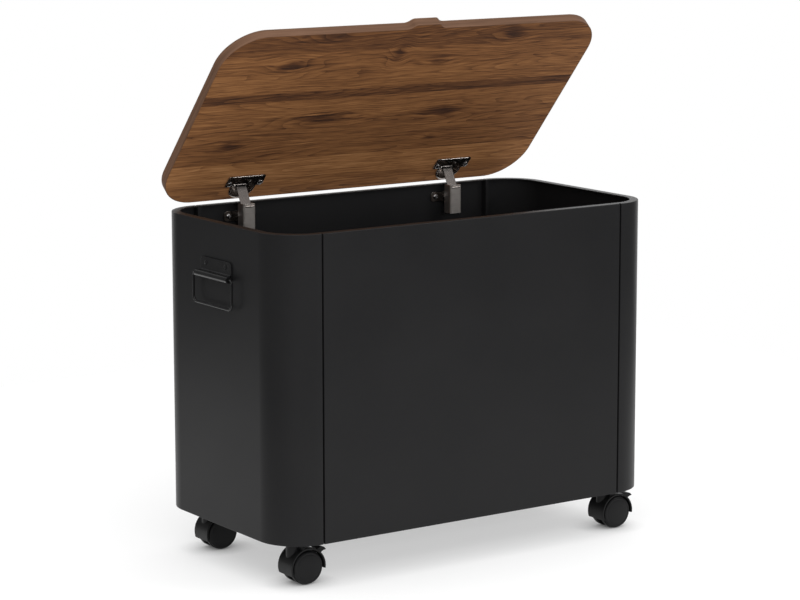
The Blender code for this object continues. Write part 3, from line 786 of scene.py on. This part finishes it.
# Lid
def lid_outline():
    """Plan of the closed lid, with its tab at the front, measured from the hinge axis."""
    x = HALF_W - LID_INSET
    front = -(BODY_D + AXIS_BACK) + LID_INSET
    radius = CORNER_R - LID_INSET
    corners = [(x, LID_REAR, radius), (-x, LID_REAR, radius), (-x, front, radius)]
    corners += [(-TAB_BASE / 2, front, TAB_R_IN), (-TAB_TOP / 2, front - TAB_OUT, TAB_R_OUT)]
    corners += [(TAB_TOP / 2, front - TAB_OUT, TAB_R_OUT), (TAB_BASE / 2, front, TAB_R_IN)]
    return rounded(corners + [(x, front, radius)], 24)


def build_lid():
    """The board, bored for the hinge cups and their screws, and the band round it."""
    outline = lid_outline()
    inner = inset(outline, BAND_T)
    core = inset(outline, BAND_T + BAND_SEAM)
    top = LID_UNDER + LID_T
    bores = []
    for side in (-1, 1):
        bore = circle(side * HINGE_X, LID_REAR - CUP_U, CUP_R + GAP, 64)
        bores.append(slab(bore, LID_UNDER - SHEET, LID_UNDER + CUP_DEPTH + GAP, edge=0))
        for spot in (-1, 1):
            pilot = (side * HINGE_X + spot * SCREW_SPAN / 2, LID_REAR - CUP_U - SCREW_U)
            pilot = circle(*pilot, SCREW_R + GAP, 16)
            bores.append(slab(pilot, LID_UNDER - SHEET, LID_UNDER + SCREW_LEN + GAP, edge=0))
    board = carved(slab(core, LID_UNDER, top, edge=0), bores)
    piece("lid_board_walnut", board, "walnut", "lid", ["lid_board"], LID)
    band = slab(outline, LID_UNDER, top, edge=BAND_EDGE, holes=[inner], steps=3, hole_edge=0.2)
    piece("lid_band_walnut", band, "band", "lid", ["lid_edge_band"], LID)


# Hinges
def screw(radius, head_r, head_h, length, axis):
    """A pan-head screw with a cross recess: its head stands above zero and its shank runs below it."""
    crown, foot = head_h * 0.35, head_h * 0.08
    profile = bend(0, crown, head_r, head_h - crown, 90)
    profile += [(head_r, foot), (head_r * 0.95, 0), (radius, 0), (radius, -length), (0, -length)]
    arm, wide, deep = head_r * 0.58, head_r * 0.13, head_h * 0.55
    cuts = []
    for x, y in ((arm, wide), (wide, arm)):
        cuts.append(slab([(-x, -y), (x, -y), (x, y), (-x, y)], head_h - deep, 2 * head_h, axis, edge=0))
    return carved(lathe(profile, 28, axis), cuts)


def round_bead(across, height, radius, low, high):
    """A round-ended bead along X; its ends are rounded by most of its radius."""
    return slab(circle(across, height, radius, 20), low, high, "X", edge=radius * 0.6)


def cup():
    """Hinge cup with its screw flange, about the middle of the cup's mouth on the lid's underside."""
    wide = math.sqrt(FLANGE_R**2 - (FLANGE_LOW - CUP_U) ** 2)
    low, tall = CUP_U - FLANGE_LOW, CUP_U - FLANGE_TOP
    start = math.atan2(low, wide)
    turns = [start + (math.pi - 2 * start) * step / 40 for step in range(41)]
    arc = [(FLANGE_R * math.cos(turn), FLANGE_R * math.sin(turn), 0) for turn in turns]
    wing = [(-FLANGE_HALF, low, FLANGE_LOW_R), (-FLANGE_HALF, tall, FLANGE_TOP_R)]
    outline = rounded(arc + wing + [(-a, b, r) for a, b, r in wing[::-1]], 6)
    hole = CUP_R - CUP_WALL
    holes = [circle(0, 0, hole, 64)]
    holes += [circle(spot * SCREW_SPAN / 2, -SCREW_U, SCREW_R + GAP, 20) for spot in (-1, 1)]
    flange = slab(outline, -GAP - FLANGE_T, -GAP, edge=EASED, holes=holes)
    end = FLANGE_HALF - BEAD_IN
    bead = round_bead(tall + BEAD_R, -GAP - FLANGE_T, BEAD_R, -end, end)
    over, floor = -GAP - FLANGE_T / 2, CUP_DEPTH - CUP_WALL
    profile = [(0, CUP_DEPTH), (CUP_R - CHAMFER, CUP_DEPTH), (CUP_R, CUP_DEPTH - CHAMFER), (CUP_R, over)]
    profile += [(hole, over), (hole, floor - CHAMFER), (hole - CHAMFER, floor), (0, floor)]
    return joined(flange, bead, lathe(profile, 64))


def link():
    """Flat link with a rolled eye at its pin; it hangs straight down from the eye."""
    bore = PIN_R + GAP
    eye = bore + EYE_WALL
    half = LINK_T / 2
    start = -math.asin(half / eye)
    loop = [(half, -LINK_LEN), (half, -eye * math.cos(start))]
    for step in range(1, 32):
        turn = -math.pi / 2 - start + (2 * math.pi + 2 * start) * step / 32
        loop.append((eye * math.cos(turn), eye * math.sin(turn)))
    loop += [(-half, -eye * math.cos(start)), (-half, -LINK_LEN)]
    return slab(loop, -LINK_W / 2, LINK_W / 2, "X", edge=FINE, holes=[circle(0, 0, bore, 32)])


def arm():
    """Upright channel arm inside the back rim, bent from one strip, with a pressed ridge near its top."""
    inner = LINK_W / 2 + FREE
    outer = inner + ARM_WALL
    front, back = HALF_D - ARM_FRONT, HALF_D - ARM_BACK
    fold, crease, top = 2 * ARM_WALL, ARM_WALL * 0.3, RIM_Z - FREE
    outline = [(-outer, front, fold), (outer, front, fold), (outer, back, 0), (inner, back, 0)]
    outline += [(inner, front + ARM_WALL, crease), (-inner, front + ARM_WALL, crease)]
    outline += [(-inner, back, 0), (-outer, back, 0)]
    ridge = round_bead(front + RIDGE_R / 3, top - RIDGE_DROP, RIDGE_R, fold - outer, outer - fold)
    return joined(slab(rounded(outline, 6), top - ARM_H, top), ridge)


def wing_plate():
    """Winged mounting plate with a block that fills the arm's channel."""
    wall = HALF_D - SHEET - GAP
    foot, head = PLATE_Z - WING_H / 2, PLATE_Z + WING_H / 2
    half = LINK_W / 2 + FREE - GAP
    top = foot + WING_H * 0.9
    body = block((-half, HALF_D - BLOCK_FRONT, foot), (half, wall - WING_T / 2, top), EASED)
    corner = WING_H * 0.4
    ends = [(-WING_HALF, foot, corner), (WING_HALF, foot, corner)]
    ends += [(WING_HALF, head, corner), (-WING_HALF, head, corner)]
    holes = [circle(spot * PLATE_SPAN / 2, PLATE_Z, SCREW_R + GAP, 20) for spot in (-1, 1)]
    return joined(slab(rounded(ends, 8), wall - WING_T, wall, "Y", edge=EASED, holes=holes), body)


def build_hinges():
    """Both hinges; the cross of each screw is turned its own way."""
    cups, links, arms, plates = cup(), link(), arm(), wing_plate()
    lid_screw = screw(SCREW_R, SCREW_HEAD_R, SCREW_HEAD_H, SCREW_LEN + FLANGE_T, "Z")
    wall_screw = screw(SCREW_R, SCREW_HEAD_R, SCREW_HEAD_H, WING_T + SHEET + GAP, "Y")
    rear = LID_REAR - CUP_U
    under = LID_UNDER - FLANGE_T - 2 * GAP
    wall = HALF_D - SHEET - 2 * GAP - WING_T
    for side, word in ((-1, "left"), (1, "right")):
        x = side * HINGE_X
        seat = LID @ Matrix.Translation((x, rear, LID_UNDER))
        piece(f"{word}_cup_plated", cups, "nickel", "lid", [f"{word}_hinge_cup"], seat)
        for hand, spot in (("a", -1), ("b", 1)):
            head = Matrix.Translation((x + spot * SCREW_SPAN / 2, rear - SCREW_U, under))
            turn = Matrix.Rotation(math.pi, 4, "X") @ Matrix.Rotation(0.5 + spot, 4, "Z")
            node = f"{word}_cup_screw_{hand}"
            piece(f"{node}_head", lid_screw, "zinc", "lid", [node], LID @ head @ turn)
            head = Matrix.Translation((x + spot * PLATE_SPAN / 2, wall, PLATE_Z))
            turn = Matrix.Rotation(math.pi, 4, "Z") @ Matrix.Rotation(0.3 - spot, 4, "Y")
            node = f"{word}_plate_screw_{hand}"
            piece(f"{node}_head", wall_screw, "zinc", "chest", [node], CHEST @ head @ turn)
        pivot = LID @ Matrix.Translation((x, LID_REAR - PIN_U, LID_UNDER + PIN_H))
        pivot = pivot @ Matrix.Rotation(LID_OPEN - LINK_TILT, 4, "X")
        piece(f"{word}_link_strip", links, "strip", f"{word}_link", [f"{word}_hinge_link"], pivot)
        here = CHEST @ Matrix.Translation((x, 0, 0))
        piece(f"{word}_arm_channel", arms, "satin", "chest", [f"{word}_hinge_arm"], here)
        piece(f"{word}_wing_plate", plates, "nickel", "chest", [f"{word}_hinge_plate"], here)


# Handles
def handle_plate():
    """Handle plate with a rolled barrel along its foot, for the right end, about the barrel's axis."""
    half = HANDLE_W / 2
    back = GAP - BARREL_OUT
    corners = [(-half, -BARREL_R * 0.5, 0), (half, -BARREL_R * 0.5, 0)]
    corners += [(half, HANDLE_H, HANDLE_R), (-half, HANDLE_H, HANDLE_R)]
    holes = [circle(spot * RIVET_SPAN / 2, RIVET_UP, RIVET_R + GAP, 20) for spot in (-1, 1)]
    leaf = slab(rounded(corners, 8), back, back + HANDLE_T, "X", edge=EASED, holes=holes)
    bore = circle(0, 0, BAIL_R + 2 * GAP, 32)
    barrel = slab(circle(0, 0, BARREL_R, 40), -BARREL_W / 2, BARREL_W / 2, "Y", edge=EASED, holes=[bore])
    deep, foot, knee = -BARREL_R * 0.66, -BARREL_R * 0.4, BARREL_R * 0.6
    start, crest = -BARREL_R * 0.30, BARREL_R * 0.95
    spread = BARREL_OUT - GAP - HANDLE_T + start
    rise = spread * 0.55
    middle = back + HANDLE_T / 2
    roll = [(middle, foot), (deep, foot), (deep, knee)]
    roll += bend(start, crest + rise, spread, rise, -90)
    roll.append((middle, crest + BARREL_R * 0.5))
    return joined(leaf, barrel, slab(roll, -half + HANDLE_T, half - HANDLE_T, "Y", edge=0))


def rivet():
    """Domed rivet with its head above zero along X and its closed tail inside the sheet."""
    shank = HANDLE_T + GAP + SHEET + GAP
    head = bend(0, 0, RIVET_HEAD_R, RIVET_HEAD_H, 90)
    tail = bend(0, -shank, RIVET_HEAD_R * 0.9, RIVET_HEAD_H * 0.9, 0)
    return lathe([*head, (RIVET_R, 0), (RIVET_R, -shank), *tail], 28, "X")


def build_handles():
    """A plate, a bail and two rivets on each end; the rivets' tails are bare."""
    plate, pin = handle_plate(), rivet()
    half = BAIL_W / 2
    corners = [(-half, -BAIL_H, BAIL_FOOT), (half, -BAIL_H, BAIL_FOOT)]
    corners += [(half, 0, BAIL_BEND), (-half, 0, BAIL_BEND)]
    bail = rod_ring(rounded(corners, 10), BAIL_R, 20, "X")

    def inside(centre):
        return centre.x < -HANDLE_T - GAP - SHEET

    for side, word in ((-1, "left"), (1, "right")):
        place = CHEST @ Matrix.Translation((side * (HALF_W + BARREL_OUT), 0, HANDLE_Z))
        turned = Matrix.Identity(4) if side > 0 else Matrix.Rotation(math.pi, 4, "Z")
        piece(f"{word}_handle_leaf", plate, "gloss", "chest", [f"{word}_handle_plate"], place @ turned)
        piece(f"{word}_handle_ring", bail, "gloss", f"{word}_bail", [f"{word}_handle_bail"], place)
        for hand, spot in (("a", -1), ("b", 1)):
            node = f"{word}_handle_rivet_{hand}"
            head = (side * (HALF_W + HANDLE_T + 2 * GAP), spot * RIVET_SPAN / 2, HANDLE_Z + RIVET_UP)
            seat = CHEST @ Matrix.Translation(head) @ turned
            piece(f"{node}_dome", pin, "steel", "chest", [node], seat, ("zinc", inside))


# Casters
def hood(braked):
    """Caster hood about its axle: a web between the wheels, a shell over them and a neck for the kingpin."""
    recess = WHEEL_R + HOOD_CLEAR
    shell = recess + HOOD_WALL
    half = WEB_T / 2 + GAP + WHEEL_W - FREE
    turns = [HOOD_FROM + HOOD_SWEEP * step / 56 for step in range(57)]

    def arc(radius):
        return [(radius * math.cos(turn), radius * math.sin(turn)) for turn in turns]

    roof = slab(arc(shell) + arc(recess)[::-1], -half, half, "Y", edge=ROOF_EDGE, steps=3)
    foot = (0.25 * shell, -0.36 * shell)
    web = arc(shell - WEB_SINK) + [(-foot[0], foot[1]), foot]
    web = slab(web, -WEB_T / 2, WEB_T / 2, "Y", edge=EASED, holes=[circle(0, 0, AXLE_R + GAP, 24)])
    low, top = 0.6 * WHEEL_R, NECK_TOP - WHEEL_R
    bore, deep = KING_R + GAP, KING_LOW - GAP - WHEEL_R
    neck = [(0, low), (NECK_R, low), (NECK_R, top - CHAMFER), (NECK_R - CHAMFER, top)]
    neck = lathe(neck + [(bore, top), (bore, deep), (0, deep)], 40)
    drills = []
    for room in (FREE, 2 * FREE):
        drill = [(0, deep - room), (bore + room, deep - room), (bore + room, 2 * shell), (0, 2 * shell)]
        drills.append(lathe(drill, 40))
    for mesh in (neck, *drills):
        mesh.transform(Matrix.Translation((-TRAIL, 0, 0)))
    spaces = []
    for ends in ((WEB_T / 2, 2 * half), (-2 * half, -WEB_T / 2)):
        spaces.append(slab(circle(0, 0, recess + GAP, 72), *ends, "Y", edge=0))
    slots = []
    if braked:
        side = LEVER_W / 2 + GAP
        slots.append(block((SLOT_BACK, -side, SLOT_LOW), (2 * shell, side, 2 * shell), 0))
    return joined(carved(roof, [drills[0], *slots]), carved(web, [drills[1], *slots]), carved(neck, spaces))


def wheel():
    """One wheel for the +Y side: a domed cover disc in front of a wider tread; zero is its inner face."""
    bore = AXLE_R + GAP
    rim, floor = WHEEL_W - DOME, WHEEL_W - DOME - GROOVE_T
    shoulder = rim - GROOVE_T / 3
    radii = [DISC_R * step / 6 for step in range(7)]
    profile = [(radius, WHEEL_W - DOME * (radius / DISC_R) ** 2) for radius in radii]
    profile += [(DISC_R + GROOVE_W * 0.3, floor), (DISC_R + GROOVE_W * 0.7, floor)]
    profile.append((DISC_R + GROOVE_W, shoulder))
    profile += bend(COVER_R - COVER_EDGE, shoulder - COVER_DROP, COVER_EDGE, COVER_DROP, 90)
    profile.append((COVER_R, TREAD_W))
    profile += bend(WHEEL_R - TREAD_EDGE, TREAD_W - TREAD_EDGE, TREAD_EDGE, TREAD_EDGE, 90, 3)
    profile += bend(WHEEL_R - TREAD_ROUND, TREAD_ROUND, TREAD_ROUND, TREAD_ROUND, 0, 4)
    return lathe(profile + [(bore, 0), (bore, WHEEL_BORE), (0, WHEEL_BORE)], 72, "Y")


def lever():
    """Brake pedal about its pivot: a stem between the wheels and a wider pad with a beak outside them."""
    thick, step = LEVER_T, LEVER_STEM - LEVER_T
    stem = [(-1.25 * thick, -1.1 * thick), (LEVER_STEM, -0.8 * thick), (LEVER_STEM, 1.2 * thick)]
    stem += [(0.5 * thick, 1.1 * thick), (-1.25 * thick, 0.4 * thick)]
    pad = [(step, -1.7 * thick, 0), (LEVER_LEN * 0.55, -2.1 * thick, PAD_HEEL_R)]
    pad += [(LEVER_LEN * 0.78, -0.7 * thick, PAD_BEAK_R), (LEVER_LEN, -0.2 * thick, PAD_TIP_R)]
    pad += [(LEVER_LEN * 0.86, 1.4 * thick, PAD_BEAK_R), (LEVER_LEN * 0.58, 2.0 * thick, PAD_TOP_R)]
    pad.append((step, thick, 0))
    narrow = WEB_T / 2 - FREE
    wide = slab(rounded(pad, 4), -LEVER_W / 2, LEVER_W / 2, "Y", edge=EASED)
    return joined(wide, slab(stem, -narrow, narrow, "Y"))


def build_casters():
    """Four casters with two wheels each; the front two carry a brake pedal."""
    wheels, pedal = wheel(), lever()
    flip = Matrix.Rotation(math.pi, 4, "Z")
    inner = WEB_T / 2 + GAP
    for end, depth in ((-1, "front"), (1, "back")):
        cover = hood(end < 0)
        for side, hand in ((-1, "left"), (1, "right")):
            name = f"{depth}_{hand}"
            hub = CHEST @ Matrix.Translation((side * SWIVEL_X + TRAIL, end * SWIVEL_Y, WHEEL_R))
            piece(f"{name}_hood_shell", cover, "plastic", f"{name}_swivel", [f"{name}_hood"], hub)
            for way, where in ((end, "outer"), (-end, "inner")):
                seat = hub @ Matrix.Translation((0, way * inner, 0))
                seat = seat @ flip if way < 0 else seat
                body = f"{name}_{where}_wheel"
                piece(f"{name}_{where}_disc", wheels, "plastic", body, [f"{name}_wheel_{where}"], seat)
            if end < 0:
                seat = hub @ Matrix.Translation((LEVER_X, 0, LEVER_Z))
                piece(f"{name}_pedal", pedal, "plastic", f"{name}_brake", [f"{name}_brake_lever"], seat)


# CAD nodes that stay, with a better finish
def dress_nodes():
    """The floor panel is coated like the body, and the pins, plates and axles are plated."""
    kept = {"floor_panel": "steel", "left_hinge_pin": "nickel", "right_hinge_pin": "nickel"}
    for depth in ("front", "back"):
        for hand in ("left", "right"):
            for part in ("caster_plate", "kingpin", "axle"):
                kept[f"{depth}_{hand}_{part}"] = "zinc"
    for node, look in kept.items():
        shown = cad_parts[node]
        shown.data.materials.clear()
        shown.data.materials.append(LOOKS[look])


# Studio
WHITE = (1, 1, 1, 1)
AMBIENT = 0.65
ROOM = 0.20
SKY = 1.4
SKY_FADE = (0.40, 0.85)
BACKDROP = (0.565, 0.825, 0.0)
BACKDROP_FADE = (0.60, 0.85)
FLOOR_SIZE = 2.2
FLOOR_PLACE = (0.1, 0.05, -0.0002)
FLOOR_TONE = 0.54
FLOOR_GLOW = 0.46
CONTACT_SHADE_REACH = 0.03

# The photograph's camera: yaw, pitch and roll in degrees, place in metres, focal length and width in pixels
CAMERA_TURN = (-34.375652, 9.942468, -0.066702)
CAMERA_PLACE = (-1.950903, -2.840600, 0.912936)
FOCAL_PIXELS = 2758.144
PICTURE_PIXELS = 800
SENSOR_MM = 36.0


def seen(tree, path):
    """One where a ray comes from the camera, a reflection or a refraction."""
    value = path.outputs["Is Camera Ray"]
    for name in ("Is Glossy Ray", "Is Transmission Ray"):
        value = tree.math("MAXIMUM", value, path.outputs[name])
    return value


def build_floor():
    """A plain pale floor; its glow makes it white, and dims close to what stands on it as a painted contact
    shadow.
    """
    bpy.ops.mesh.primitive_plane_add(size=FLOOR_SIZE, location=FLOOR_PLACE)
    floor = bpy.context.object
    floor.name = "studio_floor"
    tree = new_tree("studio_floor")
    glow = tree.math("MULTIPLY", seen(tree, tree.node("LightPath")), FLOOR_GLOW)
    # Painted contact shadow: the glow is dimmed where other things stand within this reach
    near = tree.node("AmbientOcclusion", {"Distance": CONTACT_SHADE_REACH}).outputs["AO"]
    tree.feed(WHITE, tree.shader.inputs["Emission Color"])
    tree.feed(tree.math("MULTIPLY", glow, near), tree.shader.inputs["Emission Strength"])
    floor.data.materials.append(tree.done((FLOOR_TONE, FLOOR_TONE, FLOOR_TONE, 1), 0.9, specular=0.1))


def build_world():
    """White to the camera and even soft light on the object.

    Reflections see the white backdrop behind it, and elsewhere a dim room with a wide soft box above."""
    world = bpy.data.worlds.new("studio")
    bpy.context.scene.world = world
    tree = Tree(world, "Background")
    where = tree.where("Generated")
    path = tree.node("LightPath")
    height = tree.node("SeparateXYZ", {0: where}).outputs["Z"]
    level = tree.spread(height, ROOM, SKY, *SKY_FADE, smooth=True)
    facing = tree.node("VectorMath", {0: where, 1: BACKDROP}, operation="DOT_PRODUCT").outputs["Value"]
    behind = tree.spread(facing, 0.0, 1.0, *BACKDROP_FADE, smooth=True)
    paper = tree.math("MULTIPLY", seen(tree, path), behind)
    soft = tree.math("MULTIPLY", path.outputs["Is Diffuse Ray"], AMBIENT)
    for other in (soft, paper, path.outputs["Is Camera Ray"]):
        level = tree.math("MAXIMUM", level, other)
    tree.feed(WHITE, tree.shader.inputs["Color"])
    tree.feed(level, tree.shader.inputs["Strength"])


def area_light(name, place, target, size, power, shows=True):
    """A rectangular lamp aimed at a target; it may be left out of reflections."""
    lamp = bpy.data.lights.new(name, "AREA")
    lamp.shape = "RECTANGLE"
    lamp.size, lamp.size_y = size
    lamp.energy = power
    made = bpy.data.objects.new(name, lamp)
    made.location = place
    made.visible_glossy = shows
    made.rotation_euler = (Vector(target) - Vector(place)).to_track_quat("-Z", "Y").to_euler()
    bpy.context.scene.collection.objects.link(made)


def build_lights():
    """A soft key from the left, a low fill from the front and a narrow strip from the right."""
    area_light("key", place=(-2.0, -2.0, 2.2), target=(0, 0, 0.3), size=(1.8, 1.4), power=12)
    area_light("low", place=(-0.5, -2.6, 0.75), target=(0, 0.1, 0.5), size=(2.4, 0.8), power=42, shows=False)
    area_light("strip", place=(1.4, -1.7, 1.3), target=(0, 0.1, 0.47), size=(0.8, 0.3), power=8)


def build_camera():
    """The photograph's camera."""
    yaw, pitch, roll = (math.radians(angle) for angle in CAMERA_TURN)
    back = Vector((math.sin(yaw) * math.cos(pitch), -math.cos(yaw) * math.cos(pitch), math.sin(pitch)))
    right = Vector((math.cos(yaw), math.sin(yaw), 0))
    up = back.cross(right)
    across = math.cos(roll) * right + math.sin(roll) * up
    upward = math.cos(roll) * up - math.sin(roll) * right
    data = bpy.data.cameras.new("photo_camera")
    data.sensor_width = SENSOR_MM
    data.lens = FOCAL_PIXELS * SENSOR_MM / PICTURE_PIXELS
    camera = bpy.data.objects.new("photo_camera", data)
    turn = Matrix((across, upward, back)).transposed().to_4x4()
    camera.matrix_world = Matrix.Translation(CAMERA_PLACE) @ turn
    bpy.context.scene.collection.objects.link(camera)
    bpy.context.scene.camera = camera


build_camera()
build_body()
build_lid()
build_hinges()
build_handles()
build_casters()
dress_nodes()
build_floor()
build_world()
build_lights()
bpy.context.scene.view_settings.view_transform = "Standard"
